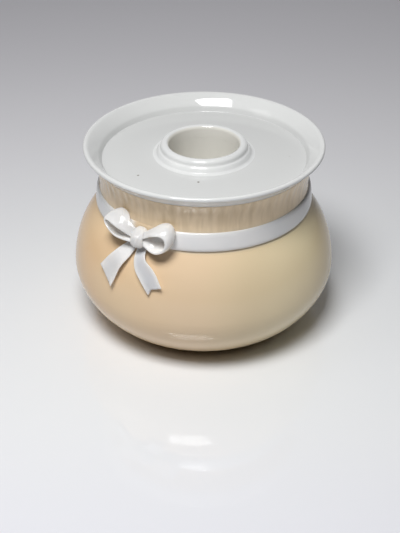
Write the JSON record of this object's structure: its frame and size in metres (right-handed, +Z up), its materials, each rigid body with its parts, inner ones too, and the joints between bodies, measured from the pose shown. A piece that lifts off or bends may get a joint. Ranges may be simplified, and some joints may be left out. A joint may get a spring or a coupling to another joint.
{
  "type": "candle holder",
  "caption": "Squat round porcelain pot with a gathered neck tied by a ribbon and bow, closed by a flared drip dish with a raised collar over a candle cup.",
  "frame": {"origin": "on the pot's axis, in the plane that the foot ring stands on", "axes": "+Z up along the pot's axis; -Y is the front, with the bow a little to the left of it; +X to the right"},
  "size_m": [0.0926, 0.0926, 0.0668],
  "materials": {
    "cream_glaze": "glossy cream glaze",
    "white_glaze": "glossy white glaze",
    "cup_glaze": "thin white glaze",
    "ribbon_glaze": "glossy white glaze"
  },
  "bodies": {
    "root": {"pot_body": "cream_glaze", "drip_dish": "white_glaze", "candle_collar": "white_glaze", "candle_cup": "cup_glaze", "ribbon_band": "ribbon_glaze", "bow_knot": "ribbon_glaze", "bow_loop_left": "ribbon_glaze", "bow_loop_right": "ribbon_glaze", "bow_tail_left": "ribbon_glaze", "bow_tail_right": "ribbon_glaze"}
  },
  "joints": []
}
